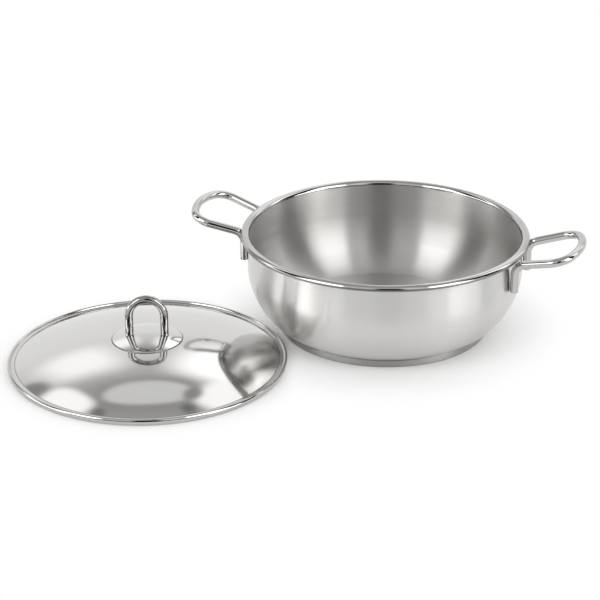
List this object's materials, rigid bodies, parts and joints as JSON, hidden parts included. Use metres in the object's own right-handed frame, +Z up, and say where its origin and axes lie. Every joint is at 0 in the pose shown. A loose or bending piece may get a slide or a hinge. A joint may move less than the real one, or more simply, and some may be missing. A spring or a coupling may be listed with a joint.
{
  "type": "stew pot",
  "caption": "Low stainless steel stew pot with a rounded belly, turned lip, capsule base and wire loop handles, and its domed lid with a wire knob lying beside it.",
  "frame": {"origin": "centre of the flat underside of the pot's base, on the table", "axes": "+Z up along the pot's axis, +X through the middle of the right handle"},
  "size_m": [0.4629, 0.3813, 0.0977],
  "materials": {
    "pot_steel": "polished outside, satin inside",
    "core_aluminium": "plain rolled disc",
    "base_steel": "satin",
    "handle_wire": "mirror polished",
    "lid_steel": "mirror polished",
    "knob_wire": "mirror polished"
  },
  "bodies": {
    "pot": {"pot_body": "pot_steel", "base_core": "core_aluminium", "base_cap": "base_steel", "right_handle": "handle_wire", "left_handle": "handle_wire"},
    "lid": {"lid_shell": "lid_steel", "lid_knob": "knob_wire"}
  },
  "joints": [
    {"name": "lid_lift", "type": "slide", "parent": "pot", "child": "lid", "axis": [-0.4458, -0.361, 0.8192], "range_m": [0, 0.15]}
  ]
}
